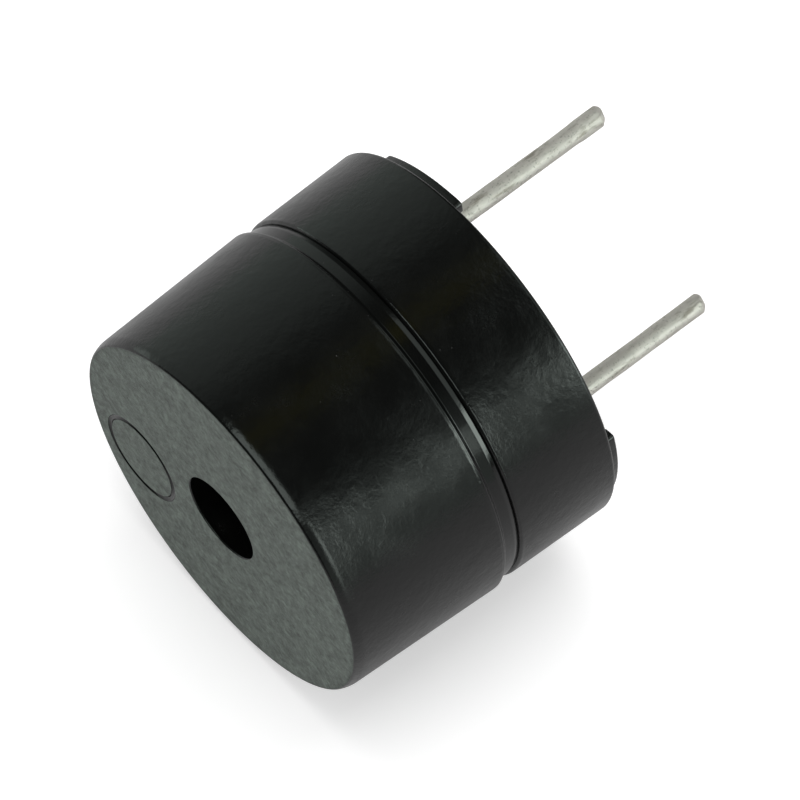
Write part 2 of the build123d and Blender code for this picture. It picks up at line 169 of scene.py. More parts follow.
# Floor and light
FLOOR_ANGLE = -27.7           # direction of the floor's normal about the body's axis
FLOOR_R = 80.0
FLOOR_POINTS = 48
FLOOR_SHADE = 0.35            # what the part sees of it
FLOOR_WHITE = 0.9             # what the camera sees of it
FLOOR_GLOW = 0.41
FLOOR_MIRRORED = 0.2
LIGHT_ANGLE = -49.94          # direction of the dark side of the tent
WALL_LEVELS = (               # of the tent's walls by angle from there, and None for the warm one
    (-180, 0.42), (-144, 0.54), (-96, 0.46), (-64, 0.4), (-36, 0.24), (-10, 0.03), (15, 0.03), (25, None),
    (34, 0.03), (46, 0.06), (72, 0.34), (100, 0.46), (144, 0.52), (180, 0.42),
)
WARM_WALL = (0.17, 0.14, 0.02, 1)
HIGH_LIFTS = (0.38, 0.58)     # the tent goes dark over these heights
HIGH_LEVEL = 0.05
FILL_LEVEL = 0.62             # even light for all but reflections
PANEL_SOFT_ANGLE = 3.0
PANEL_SOFT_LIFT = 0.02
PANELS = (                    # panels of light: from and to this angle, from and to this height, level
    (-66, 36, -0.84, -0.45, 0.75),
    (-66, -34, -0.84, -0.45, 5.0),
    (-55, -39, -0.45, -0.285, 1.45),
    (-55, -39, -0.285, -0.242, 0.22),
    (-55, -39, -0.242, -0.13, 0.55),
    (-62, -30, -0.13, 0.04, 3.3),
    (-80, -62, -0.13, 0.04, 1.4),
    (-24, 36, 0.22, 0.56, 1.8),
)
BACK_LEVEL = 1.25             # a wide light behind the face
BACK_ANGLES = (100, 122)
BACK_LIFTS = (0.0, 0.08)
TENT_TINT = (0.935, 1.065, 0.99, 1.0)
KEY_LIFT = 75.0
KEY_SIDE = 5.0
KEY_BACK = 10.0
KEY_SIZE = 70.0
KEY_POWER = 0.035


def eased(share):
    """A smooth step from 0 to 1."""
    share = min(max(share, 0.0), 1.0)
    return share * share * (3 - 2 * share)


def polar(radius, degrees):
    """A point in the plane by its radius and angle."""
    return radius * math.cos(math.radians(degrees)), radius * math.sin(math.radians(degrees))


# Node trees

class Value:
    """One output of a node. Arithmetic on it adds Math nodes."""

    def __init__(self, tree, socket):
        self.tree = tree
        self.socket = socket

    def math(self, operation, *others):
        return self.tree.node("ShaderNodeMath", {"operation": operation}, dict(enumerate((self, *others))))

    def __add__(self, other):
        return self.math("ADD", other)

    __radd__ = __add__

    def __sub__(self, other):
        return self.math("SUBTRACT", other)

    def __rsub__(self, other):
        return self.math("MULTIPLY", -1.0).math("ADD", other)

    def __mul__(self, other):
        return self.math("MULTIPLY", other)

    __rmul__ = __mul__

    def __truediv__(self, other):
        return self.math("DIVIDE", other)


class Tree:
    """A node tree with one way to add nodes."""

    def __init__(self, tree):
        self.tree = tree

    def node(self, kind, settings=None, inputs=None, output=0):
        """Adds a node: its settings first, then the values or links of its sockets. Returns one output."""
        made = self.tree.nodes.new(kind)
        for name, setting in (settings or {}).items():
            if name == "stops":
                ramp = made.color_ramp.elements
                while len(ramp) < len(setting):
                    ramp.new(0.5)
                for element, (place, colour) in zip(ramp, setting):
                    element.position = place
                    element.color = colour
            else:
                setattr(made, name, setting)
        for name, value in (inputs or {}).items():
            if isinstance(value, Value):
                self.tree.links.new(value.socket, made.inputs[name])
            elif isinstance(value, list):
                for part in value:
                    self.tree.links.new(part.socket, made.inputs[name])
            else:
                made.inputs[name].default_value = value
        return Value(self, made.outputs[output]) if made.outputs else None

    def step(self, value, low, high):
        """0 below low, 1 above high and smooth between."""
        return self.node("ShaderNodeMapRange", {"interpolation_type": "SMOOTHSTEP"},
                         {"Value": value, "From Min": low, "From Max": high})

    def blend(self, factor, first, second):
        """A colour between two colours."""
        return self.node("ShaderNodeMix", {"data_type": "RGBA"}, {0: factor, 6: first, 7: second}, output=2)


class Finish(Tree):
    """A material of one piece, painted on Object coordinates."""

    def __init__(self, name):
        self.material = bpy.data.materials.new(name)
        self.material.use_nodes = True
        super().__init__(self.material.node_tree)
        self.tree.nodes.clear()
        self.place = self.node("ShaderNodeTexCoord", output="Object")

    def axis(self, letter):
        return self.node("ShaderNodeSeparateXYZ", None, {0: self.place}, output="XYZ".index(letter))

    def stretched(self, scale):
        """The place with each axis scaled."""
        return self.node("ShaderNodeMapping", None, {"Vector": self.place, "Scale": scale})

    def noise(self, size, detail=2.0, rough=0.5, place=None, seed=0.0):
        """Soft noise from 0 to 1 with features of about this size in millimetres."""
        return self.node("ShaderNodeTexNoise", {"noise_dimensions": "4D"},
                         {"Vector": place or self.place, "W": seed, "Scale": 1 / (size * MM),
                          "Detail": detail, "Roughness": rough})

    def grains(self, size):
        """Distance from the middle of the nearest grain, in grains."""
        return self.node("ShaderNodeTexVoronoi", None, {"Vector": self.place, "Scale": 1 / (size * MM)},
                         output="Distance")

    def bump(self, height, depth):
        """A normal pushed by a height from 0 to 1 over a depth in millimetres."""
        return self.node("ShaderNodeBump", None, {"Height": height, "Distance": depth * MM, "Strength": 1.0})

    def surface(self, **sockets):
        """The shader itself. Socket names have underscores for spaces."""
        shader = self.node("ShaderNodeBsdfPrincipled", None,
                           {name.replace("_", " "): value for name, value in sockets.items()})
        self.node("ShaderNodeOutputMaterial", None, {"Surface": shader})
        return self.material


def grey(level):
    return (level, level, level, 1.0)


def case_moulding(name, seed, satin, face_grain):
    """Black moulded plastic: satin sides with faint flow and scuffs, a spark-eroded grain on the face, and
    painted shade that darkens the face towards its rim.
    """
    paint = Finish(name)
    height = paint.axis("Z")

    def above(low, high):
        return paint.step(height, low * MM, high * MM)

    flow = paint.noise(1.6, 3.0, seed=seed)
    peel = paint.noise(0.34, 3.0, 0.6, seed=seed + 3)
    scuff_place = paint.stretched((1.0, 1.0, 0.12))
    scuffs = paint.step(paint.noise(0.06, 2.0, place=scuff_place, seed=seed + 7), 0.62, 0.72)
    patches = paint.step(paint.noise(1.1, 2.0, 0.5, seed=seed + 11), 0.3, 0.75)
    dust = 1 - paint.step(paint.grains(0.5), 0.02, 0.05)
    scratches = paint.noise(0.11, 3.0, 0.7, seed=seed + 29)
    side_rough = satin + patches * 0.08 + (scratches - 0.5) * patches * 0.15 + scuffs * patches * 0.03
    black = paint.blend(flow, SIDE_DARK, SIDE_LIGHT)
    side_colour = paint.blend(dust * patches, black, DUST)
    side_height = peel * 0.9 + flow * 0.4 + (scratches - 0.5) * patches * 0.4
    if not face_grain:
        near_seam = above(SEAM_Z - 0.2, SEAM_Z - 0.08)
        return paint.surface(Base_Color=side_colour, Roughness=side_rough * (1 - near_seam * 0.6), IOR=1.5,
                             Normal=paint.bump(side_height, 0.02))
    band_top = SEAM_Z + BAND_WIDTH
    on_face = above(FACE_Z - 0.012, FACE_Z - 0.002)
    on_band = 1 - above(band_top + 0.02, band_top + 0.12)
    on_edge = above(FACE_Z - 0.22, FACE_Z - 0.14)
    coarse = paint.step(paint.noise(0.45, 3.0, 0.65, seed=seed + 19), 0.35, 0.65)
    fine = paint.noise(0.1, 3.0, 0.6, seed=seed + 17)
    speck = paint.step(paint.noise(0.15, 4.0, 0.75, seed=seed + 23), 0.32, 0.68)
    grain = speck * 0.36 + fine * 0.5
    face_colour = paint.blend(speck * 0.75 + coarse * 0.25, FACE_DARK, FACE_LIGHT)
    polished = 0.11 + flow * 0.06
    smooth = side_rough + (polished - side_rough) * (on_band + on_edge * 0.7)
    rough = smooth * (1 - on_face) + (0.42 + speck * 0.15) * on_face
    relief = side_height * (1 - on_face) * (1 - on_band * 0.7) * 0.33 + grain * on_face
    out_from_axis = paint.node("ShaderNodeVectorMath", {"operation": "LENGTH"},
                               {0: paint.stretched((1.0, 1.0, 0.0))}, output="Value")
    # painted shade: the face's colour fades to black towards the rim, in place of the shading of a wider
    # rounded edge
    rim_painted_shade = paint.step(out_from_axis, RIM_PAINTED_SHADE[0] * MM, RIM_PAINTED_SHADE[1] * MM)
    colour = paint.blend(on_face * (1 - rim_painted_shade), side_colour, face_colour)
    return paint.surface(Base_Color=colour, Roughness=rough, IOR=1.5, Normal=paint.bump(relief, 0.06))


def dipped_tin(name):
    """Dipped tin on drawn wire: dull grey metal with olive streaks along it."""
    paint = Finish(name)
    along = paint.stretched((1.0, 1.0, 0.28))
    streaks = paint.noise(0.2, 3.0, 0.6, place=along, seed=2.0)
    tarnish = paint.step(streaks, 0.52, 0.7)
    pores = paint.step(paint.noise(0.08, 2.0, 0.6, seed=5.0), 0.56, 0.7)
    bright = paint.blend(paint.noise(0.3, 2.0, seed=9.0), TIN_DARK, TIN_LIGHT)
    colour = paint.blend(tarnish * 0.75, bright, TARNISH)
    return paint.surface(Base_Color=paint.blend(pores * 0.45, colour, PORE), Metallic=0.8,
                         Roughness=0.55 + tarnish * 0.1 + pores * 0.06, IOR=1.5,
                         Normal=paint.bump(streaks * 0.7 + pores * 0.3, 0.018))


def cast_resin(name):
    """Casting resin: glossy black with slow waves, a few pinholes and a faintly mottled tone."""
    paint = Finish(name)
    waves = paint.noise(2.2, 1.0, seed=4.0)
    pinholes = paint.step(paint.grains(0.9), 0.03, 0.06)
    colour = paint.blend(paint.noise(0.5, 3.0, seed=8.0), (0.008, 0.008, 0.009, 1), (0.016, 0.016, 0.015, 1))
    return paint.surface(Base_Color=colour, Roughness=0.12 + paint.noise(0.7, 3.0, seed=6.0) * 0.14,
                         IOR=1.5, Normal=paint.bump(waves * 0.8 + pinholes * 0.2, 0.05))


def rolled_metal(name, dark, light, rough, grain=(1.0, 1.0, 1.0)):
    """Plated, rolled or soldered metal with fine lines or mottling."""
    paint = Finish(name)
    lines = paint.noise(0.12, 3.0, 0.6, place=paint.stretched(grain), seed=3.0)
    cloud = paint.noise(0.8, 2.0, seed=13.0)
    return paint.surface(Base_Color=paint.blend(cloud * 0.6 + lines * 0.4, dark, light), Metallic=1.0,
                         Roughness=rough + lines * 0.15, Normal=paint.bump(lines, 0.006))


def dull_solid(name, dark, light, rough, size, depth):
    """Ceramic, laminate or moulded stuff with a grain of its own size."""
    paint = Finish(name)
    grain = paint.noise(size, 3.0, 0.6, seed=1.0)
    return paint.surface(Base_Color=paint.blend(grain, dark, light), Roughness=rough + grain * 0.15, IOR=1.5,
                         Normal=paint.bump(grain, depth))


# Mesh making

def lone(name, mesh, material=None):
    """A piece at the origin."""
    piece = bpy.data.objects.new(name, mesh)
    bpy.context.collection.objects.link(piece)
    if material:
        mesh.materials.clear()
        mesh.materials.append(material)
    return piece


def settled(piece):
    """The piece with its modifiers turned into a plain mesh."""
    bpy.context.view_layer.update()
    mesh = bpy.data.meshes.new_from_object(piece.evaluated_get(bpy.context.evaluated_depsgraph_get()))
    piece.modifiers.clear()
    piece.data = mesh
    mesh.name = piece.name
    return piece


def smoothed(piece, sharp_above=32.0):
    """Smooth shading with true flats and hard edges."""
    piece.data.shade_smooth()
    piece.data.set_sharp_from_angle(angle=math.radians(sharp_above))
    weighted = piece.modifiers.new("flats", "WEIGHTED_NORMAL")
    weighted.keep_sharp = True
    weighted.weight = 100
    return settled(piece)


def nodes_piece(piece, tree, values):
    """Runs a node tree on a piece with these inputs, and keeps its result as the mesh."""
    modifier = piece.modifiers.new(tree.name, "NODES")
    modifier.node_group = tree
    for item in tree.interface.items_tree:
        if item.item_type == "SOCKET" and item.in_out == "INPUT" and item.name in values:
            modifier[item.identifier] = values[item.name]
    return settled(piece)


def new_tree(name, sockets):
    """An empty geometry tree with these inputs, and its helper."""
    tree = bpy.data.node_groups.new(name, "GeometryNodeTree")
    tree.interface.new_socket("Geometry", in_out="INPUT", socket_type="NodeSocketGeometry")
    tree.interface.new_socket("Geometry", in_out="OUTPUT", socket_type="NodeSocketGeometry")
    for label, kind in sockets:
        tree.interface.new_socket(label, in_out="INPUT", socket_type="NodeSocket" + kind)
    helper = Tree(tree)
    group = tree.nodes.new("NodeGroupInput")
    given = {socket.name: Value(helper, socket) for socket in group.outputs if socket.name}
    return tree, helper, given


def close_tree(helper, geometry, material):
    """Ends a tree in Realize Instances and Set Material."""
    real = helper.node("GeometryNodeRealizeInstances", None, {"Geometry": geometry})
    painted = helper.node("GeometryNodeSetMaterial", None, {"Geometry": real, "Material": material})
    helper.node("NodeGroupOutput", None, {"Geometry": painted})


def turning_tree():
    """Turns an outline about the body's axis. Each outline point carries the radius of its round."""
    tree, make, given = new_tree("turned_outline", [("Segments", "Int"), ("Round Steps", "Int"),
                                                    ("Turning Radius", "Float"), ("Finish", "Material")])
    outline = make.node("GeometryNodeMeshToCurve", None, {"Mesh": given["Geometry"]})
    rounds = make.node("GeometryNodeInputNamedAttribute", {"data_type": "FLOAT"}, {"Name": "round"})
    rounded = make.node("GeometryNodeFilletCurve", {"mode": "POLY"},
                        {"Curve": outline, "Count": given["Round Steps"], "Radius": rounds})
    path = make.node("GeometryNodeCurvePrimitiveCircle", None,
                     {"Resolution": given["Segments"], "Radius": given["Turning Radius"]})
    skin = make.node("GeometryNodeCurveToMesh", None, {"Curve": path, "Profile Curve": rounded})
    joined = make.node("GeometryNodeMergeByDistance", None, {"Geometry": skin, "Distance": MERGE_DISTANCE})
    close_tree(make, joined, given["Finish"])
    return tree


def winding_tree():
    """Layers of round wire turns about the body's axis."""
    tree, make, given = new_tree("wound_wire", [("Turns", "Int"), ("Layers", "Int"),
                                                ("Inner Radius", "Float"), ("Base", "Float"),
                                                ("Wire Radius", "Float"), ("Finish", "Material")])
    pitch = given["Wire Radius"] * 2.0
    count = given["Turns"] * given["Layers"]
    index = make.node("GeometryNodeInputIndex")
    layer = (index / given["Turns"]).math("FLOOR")
    turn = index - layer * given["Turns"]
    points = make.node("GeometryNodePoints", None, {"Count": count})
    height = given["Base"] + given["Wire Radius"] + turn * pitch
    place = make.node("ShaderNodeCombineXYZ", None, {"Z": height})
    lifted = make.node("GeometryNodeSetPosition", None, {"Geometry": points, "Position": place})
    ring = make.node("GeometryNodeCurvePrimitiveCircle", None, {"Resolution": TURN_SIDES, "Radius": 1.0})
    size = given["Inner Radius"] + given["Wire Radius"] + layer * pitch
    rings = make.node("GeometryNodeInstanceOnPoints", None,
                      {"Points": lifted, "Instance": ring, "Scale": size})
    real = make.node("GeometryNodeRealizeInstances", None, {"Geometry": rings})
    section = make.node("GeometryNodeCurvePrimitiveCircle", None,
                        {"Resolution": WIRE_SIDES, "Radius": given["Wire Radius"]})
    even = make.node("GeometryNodeSetCurveRadius", None, {"Curve": real, "Radius": 1.0})
    wire = make.node("GeometryNodeCurveToMesh", None, {"Curve": even, "Profile Curve": section})
    close_tree(make, wire, given["Finish"])
    return tree


def circling_tree():
    """Repeats a shape round the body's axis and joins the copies to a second shape."""
    tree, make, given = new_tree("repeated_round", [("Copies", "Int"), ("Carrier", "Object"),
                                                    ("Finish", "Material")])
    points = make.node("GeometryNodePoints", None, {"Count": given["Copies"]})
    index = make.node("GeometryNodeInputIndex")
    turn = index * (2 * math.pi) / given["Copies"]
    spin = make.node("ShaderNodeCombineXYZ", None, {"Z": turn})
    copies = make.node("GeometryNodeInstanceOnPoints", None,
                       {"Points": points, "Instance": given["Geometry"], "Rotation": spin})
    carrier = make.node("GeometryNodeObjectInfo", None, {"Object": given["Carrier"]}, output="Geometry")
    joined = make.node("GeometryNodeJoinGeometry", None, {"Geometry": [carrier, copies]})
    close_tree(make, joined, given["Finish"])
    return tree


TURNED = turning_tree()
WOUND = winding_tree()
CIRCLED = circling_tree()


def outline_mesh(name, points):
    """An outline for turning: (radius, height, round) in millimetres, seen in the turning path's frame. It is
    closed, or runs from the axis to the axis."""
    mesh = bpy.data.meshes.new(name)
    corners = [((radius - BODY_R) * MM, -height * MM, 0.0) for radius, height, _ in points]
    edges = [(i, i + 1) for i in range(len(points) - 1)]
    if points[0][0] > 0:
        edges.append((len(points) - 1, 0))
    mesh.from_pydata(corners, edges, [])
    rounds = mesh.attributes.new("round", "FLOAT", "POINT")
    for item, (_, _, size) in zip(rounds.data, points):
        item.value = size * MM
    return mesh


def turned(name, points, material, segments=CASE_SEGMENTS, steps=CASE_ROUND_STEPS):
    """A piece turned from its outline."""
    piece = lone(name, outline_mesh(name, points))
    return nodes_piece(piece, TURNED, {"Segments": segments, "Round Steps": steps,
                                       "Turning Radius": BODY_R * MM, "Finish": material})


def ring_cutter():
    """A thin torus that leaves the ring-shaped groove in the face."""
    half = RING_LINE / 2
    bow = (half ** 2 + RING_DEPTH ** 2) / (2 * RING_DEPTH)
    middle = RING_OUTER_R - half
    x, y = polar(RING_OFFSET, RING_ANGLE)
    made = bmesh.new()
    rows = []
    for i in range(RING_STEPS):
        a = 2 * math.pi * i / RING_STEPS
        row = []
        for j in range(RING_SIDES):
            b = 2 * math.pi * j / RING_SIDES
            r = middle + bow * math.cos(b)
            z = FACE_Z - RING_DEPTH + bow + bow * math.sin(b)
            row.append(made.verts.new(((x + r * math.cos(a)) * MM, (y + r * math.sin(a)) * MM, z * MM)))
        rows.append(row)
    for i, row in enumerate(rows):
        after = rows[(i + 1) % RING_STEPS]
        for j in range(RING_SIDES):
            k = (j + 1) % RING_SIDES
            made.faces.new((row[j], after[j], after[k], row[k]))
    bmesh.ops.recalc_face_normals(made, faces=made.faces)
    mesh = bpy.data.meshes.new("ring_cutter")
    made.to_mesh(mesh)
    made.free()
    return lone("ring_cutter", mesh)


def front_case_piece(material):
    """The drafted cup: sounding face, hole, lip, recessed band and the chamber inside."""
    band_top = SEAM_Z + BAND_WIDTH
    band_r = BODY_R - BAND_DEPTH
    face_r = BODY_R - FACE_TAPER * (1 - FACE_EDGE_HEIGHT / (FACE_Z - band_top))
    chamber_top = FACE_Z - FRONT_WALL
    piece = turned("front_case_shell", [
        (HOLE_R, FACE_Z, SMALL_ROUND),
        (face_r - FACE_EDGE_WIDTH, FACE_Z, FACE_EDGE_ROUNDS[0]),
        (face_r, FACE_Z - FACE_EDGE_HEIGHT, FACE_EDGE_ROUNDS[1]),
        (BODY_R, band_top, LIP_ROUND),
        (band_r, band_top - BAND_RAMP, RAMP_FOOT_ROUND),
        (band_r, SEAM_Z + BAND_FOOT_HEIGHT, BAND_FOOT_HEIGHT),
        (band_r - BAND_FOOT_DEPTH, SEAM_Z, BAND_SEAM_ROUND),
        (SKIRT_R, SEAM_Z, 0.0),
        (SKIRT_R, SHOULDER_Z, 0.0),
        (CHAMBER_R, SHOULDER_Z, 0.0),
        (CHAMBER_TOP_R, chamber_top, CHAMBER_ROUND),
        (HOLE_R, chamber_top, 0.0),
    ], material)
    cutter = ring_cutter()
    groove = piece.modifiers.new("ring_groove", "BOOLEAN")
    groove.object = cutter
    groove.solver = "EXACT"
    settled(piece)
    bpy.data.objects.remove(cutter)
    return smoothed(piece)


def standoff_mesh():
    """One standoff: a short arc with rounded corners and a softened rim."""
    inner = STANDOFF_OUTER_R - STANDOFF_WIDTH
    steps = STANDOFF_STEPS
    angles = [STANDOFF_SPAN * (i / steps - 0.5) for i in range(steps + 1)]
    outline = [polar(STANDOFF_OUTER_R, a) for a in angles] + [polar(inner, a) for a in reversed(angles)]
    made = bmesh.new()
    foot = [made.verts.new((x * MM, y * MM, 0.0)) for x, y in outline]
    top = [made.verts.new((x * MM, y * MM, (STANDOFF_HEIGHT + SMALL_ROUND) * MM)) for x, y in outline]
    made.faces.new(list(reversed(foot)))
    made.faces.new(top)
    count = len(outline)
    for i in range(count):
        k = (i + 1) % count
        made.faces.new((foot[i], foot[k], top[k], top[i]))
    ends = (0, steps, steps + 1, count - 1)
    posts = [edge for edge in made.edges if {foot.index(v) for v in edge.verts if v in foot} & set(ends)
             and any(v in top for v in edge.verts)]
    bmesh.ops.bevel(made, geom=posts, offset=STANDOFF_CORNER * MM, segments=5, profile=0.5, affect="EDGES")
    rim = [edge for edge in made.edges if all(abs(v.co.z) < FLAT_WITHIN for v in edge.verts)]
    bmesh.ops.bevel(made, geom=rim, offset=STANDOFF_EDGE * MM, segments=3, profile=0.5, affect="EDGES")
    bmesh.ops.recalc_face_normals(made, faces=made.faces)
    mesh = bpy.data.meshes.new("standoff")
    made.to_mesh(mesh)
    made.free()
    return mesh


def rear_case_piece(material):
    """The tube behind the parting line, with its spigot, seat and three standoffs."""
    back = STANDOFF_HEIGHT
    tube = turned("rear_tube", [
        (BORE_R, back, 0.0),
        (BODY_R, back, BACK_EDGE_ROUND),
        (BODY_R - REAR_TAPER, SEAM_Z, REAR_SEAM_ROUND),
        (SPIGOT_R, SEAM_Z, 0.0),
        (SPIGOT_R, SPIGOT_TOP_Z, SMALL_ROUND),
        (SEAT_LIP_R, SPIGOT_TOP_Z, 0.0),
        (SEAT_LIP_R, SEAT_Z, 0.0),
        (MAGNET_BORE_R, SEAT_Z, 0.0),
        (MAGNET_BORE_R, YOKE_TOP_Z, 0.0),
        (BORE_R, YOKE_TOP_Z, 0.0),
    ], material)
    piece = lone("rear_case_shell", standoff_mesh())
    nodes_piece(piece, CIRCLED, {"Copies": STANDOFF_COUNT, "Carrier": tube, "Finish": material})
    bpy.data.objects.remove(tube)
    return smoothed(piece)


def resin_piece(material):
    """The cast back: a disc that climbs the wall a little at its rim."""
    surface = STANDOFF_HEIGHT + RESIN_RECESS
    return smoothed(turned("resin_back", [
        (0.0, surface, 0.0),
        (BORE_R - MENISCUS_WIDTH, surface, MENISCUS_ROUND),
        (BORE_R, surface - MENISCUS_RISE, 0.0),
        (BORE_R, BOARD_Z, 0.0),
        (0.0, BOARD_Z, 0.0),
    ], material, segments=RESIN_SEGMENTS, steps=RESIN_ROUND_STEPS))


def pin_piece(name, side, tip, nip, cut, material):
    """A drawn wire dipped in tin up to the seat, a little out of true, nipped and cut aslant at its tip."""
    count = int((PIN_BEND_TOP - tip - 2 * TIP_ROUND) / PIN_RING_PITCH)
    heights = [PIN_BEND_TOP - i * PIN_RING_PITCH for i in range(count)]
    rings = [(PIN_TOP_Z, WIRE_R)]
    rings += [(z, WIRE_R + (TIN_R - WIRE_R) * eased((TIN_EDGE - z) / TIN_EDGE)) for z in heights]
    for i in range(TIP_STEPS + 1):
        a = math.pi / 2 * i / TIP_STEPS
        rings.append((tip + TIP_ROUND * (1 - math.sin(a)), TIN_R - TIP_ROUND + TIP_ROUND * math.cos(a)))
    lean = Vector(polar(PIN_SIDEWAYS, PIN_LEAN_ANGLE) + (0.0,))
    made = bmesh.new()
    rows = []
    for z, radius in rings:
        drift = lean * eased((PIN_BEND_TOP - z) / PIN_SETTLE)
        nipped = nip * eased((tip + NIP_LENGTH - z) / NIP_EASE)
        sheared = cut * eased((tip + 2 * TIP_ROUND - z) / (2 * TIP_ROUND))
        row = []
        for j in range(PIN_SIDES):
            a = 2 * math.pi * j / PIN_SIDES
            uneven = PIN_UNEVEN * noise.noise(Vector((math.cos(a) * UNEVEN_AROUND + side,
                                                      math.sin(a) * UNEVEN_AROUND, z * UNEVEN_ALONG)))
            turn = a - math.radians(CUT_ANGLE)
            r = (radius + uneven - PIN_UNEVEN / 2) * (1 - nipped * math.cos(2 * turn))
            raised = sheared * (1 + math.cos(turn)) / 2 * r / TIN_R
            x, y = side + drift.x + r * math.cos(a), drift.y + r * math.sin(a)
            row.append(made.verts.new((x * MM, y * MM, (z + raised) * MM)))
        rows.append(row)
    for upper, lower in zip(rows, rows[1:]):
        for j in range(PIN_SIDES):
            k = (j + 1) % PIN_SIDES
            made.faces.new((upper[j], lower[j], lower[k], upper[k]))
    made.faces.new(rows[0])
    made.faces.new(list(reversed(rows[-1])))
    bmesh.ops.recalc_face_normals(made, faces=made.faces)
    mesh = bpy.data.meshes.new(name)
    made.to_mesh(mesh)
    made.free()
    return smoothed(lone(name, mesh, material), PIN_SHARP_ABOVE)


def winding_piece(name, node, inner_r, material):
    """Turns of enamelled wire in the space of the CAD winding."""
    low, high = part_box(node)
    outer_r = high.x / MM
    piece = lone(name, bpy.data.meshes.new(name))
    nodes_piece(piece, WOUND, {"Turns": int((high.z - low.z) / MM / (2 * COIL_WIRE_R) + COUNT_SLACK),
                               "Layers": int((outer_r - inner_r) / (2 * COIL_WIRE_R) + COUNT_SLACK),
                               "Inner Radius": inner_r * MM, "Base": low.z, "Wire Radius": COIL_WIRE_R * MM,
                               "Finish": material})
    piece.data.shade_smooth()
    return piece


# Finishes
case_front = case_moulding("case_front_black", seed=0.0, satin=0.19, face_grain=True)
case_rear = case_moulding("case_rear_black", seed=31.0, satin=0.19, face_grain=False)
tinned = dipped_tin("dipped_tin")
resin = cast_resin("cast_resin")
enamel = rolled_metal("enamelled_wire", (0.42, 0.13, 0.05, 1), (0.62, 0.26, 0.11, 1), 0.22)
plated = rolled_metal("zinc_plate", (0.5, 0.5, 0.51, 1), (0.66, 0.66, 0.64, 1), 0.25)
steel = rolled_metal("rolled_steel", (0.46, 0.46, 0.47, 1), (0.6, 0.6, 0.61, 1), 0.2, (0.15, 1.0, 1.0))
foil = rolled_metal("etched_foil", (0.62, 0.3, 0.16, 1), (0.78, 0.44, 0.26, 1), 0.25)
solder = rolled_metal("solder_tin", (0.5, 0.5, 0.5, 1), (0.74, 0.74, 0.72, 1), 0.2)
ferrite = dull_solid("sintered_ferrite", (0.035, 0.035, 0.038, 1), (0.07, 0.07, 0.074, 1), 0.55, 0.12, 0.02)
laminate = dull_solid("paper_laminate", (0.4, 0.25, 0.09, 1), (0.55, 0.38, 0.17, 1), 0.45, 0.3, 0.006)
chip_black = dull_solid("chip_moulding", (0.012, 0.012, 0.013, 1), (0.03, 0.03, 0.03, 1), 0.5, 0.05, 0.006)
chip_glaze = dull_solid("chip_glaze", (0.018, 0.018, 0.022, 1), (0.04, 0.04, 0.045, 1), 0.25, 0.2, 0.003)

# Pieces that stand for CAD nodes
made_pieces = [
    (front_case_piece(case_front), "front_case", "case_front"),
    (rear_case_piece(case_rear), "rear_case", "case_rear"),
    (resin_piece(resin), "resin_seal", "casting_resin"),
    (pin_piece("short_pin", PIN_X, SHORT_TIP_Z, SHORT_NIP, SHORT_CUT, tinned), "negative_pin", "tinned_wire"),
    (pin_piece("long_pin", -PIN_X, LONG_TIP_Z, LONG_NIP, LONG_CUT, tinned), "positive_pin", "tinned_wire"),
    (winding_piece("drive_coil", "drive_winding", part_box("pole_core")[1].x / MM + COIL_GAP, enamel),
     "drive_winding", "enamelled_copper"),
    (winding_piece("feedback_coil", "feedback_winding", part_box("drive_winding")[1].x / MM, enamel),
     "feedback_winding", "enamelled_copper"),
]
for piece, node, slot in made_pieces:
    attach(piece, "root")
    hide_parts(node)

# CAD nodes that stay, with their finishes
node_finishes = {
    "diaphragm": steel, "armature_disc": steel, "ring_magnet": ferrite, "pole_core": plated,
    "yoke_plate": plated, "coil_leads": enamel, "circuit_board": laminate, "board_copper": foil,
    "transistor_body": chip_black, "transistor_leads": solder, "resistor_body": chip_glaze,
    "resistor_caps": solder, "pin_solder": solder, "lead_solder": solder,
}
for node, material in node_finishes.items():
    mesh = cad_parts[node].data
    mesh.materials.clear()
    mesh.materials.append(material)


# Floor, light and camera

def floor_finish():
    """Pale floor: white to the camera, grey in reflections, and clear from behind."""
    paint = Finish("pale_floor")
    seen = paint.node("ShaderNodeLightPath", output="Is Camera Ray")
    mirrored = paint.node("ShaderNodeLightPath", output="Is Glossy Ray")
    card = paint.node("ShaderNodeBsdfDiffuse", None,
                      {"Color": paint.blend(seen, grey(FLOOR_SHADE), grey(FLOOR_WHITE))})
    glow = paint.node("ShaderNodeEmission", None,
                      {"Color": grey(1.0), "Strength": seen * FLOOR_GLOW + mirrored * FLOOR_MIRRORED})
    lit = paint.node("ShaderNodeAddShader", None, {0: card, 1: glow})
    clear = paint.node("ShaderNodeBsdfTransparent")
    behind = paint.node("ShaderNodeNewGeometry", output="Backfacing")
    paint.node("ShaderNodeOutputMaterial", None,
               {"Surface": paint.node("ShaderNodeMixShader", None, {0: behind, 1: lit, 2: clear})})
    return paint.material


floor_up = Vector(polar(1.0, FLOOR_ANGLE) + (0.0,))
floor_side = Vector((0.0, 0.0, 1.0)).cross(floor_up)
floor_axes = Matrix((floor_side, Vector((0.0, 0.0, 1.0)), floor_up)).transposed()
body_middle = Vector((0.0, 0.0, FACE_Z / 2))
rim = [floor_axes @ Vector(polar(FLOOR_R, i * 360 / FLOOR_POINTS) + (-BODY_R,)) + body_middle
       for i in range(FLOOR_POINTS)]
if (rim[1] - rim[0]).cross(rim[2] - rim[1]).dot(floor_up) < 0:
    rim.reverse()
floor_mesh = bpy.data.meshes.new("floor")
floor_mesh.from_pydata([tuple(point * MM) for point in rim], [], [tuple(range(len(rim)))])
lone("floor", floor_mesh, floor_finish())


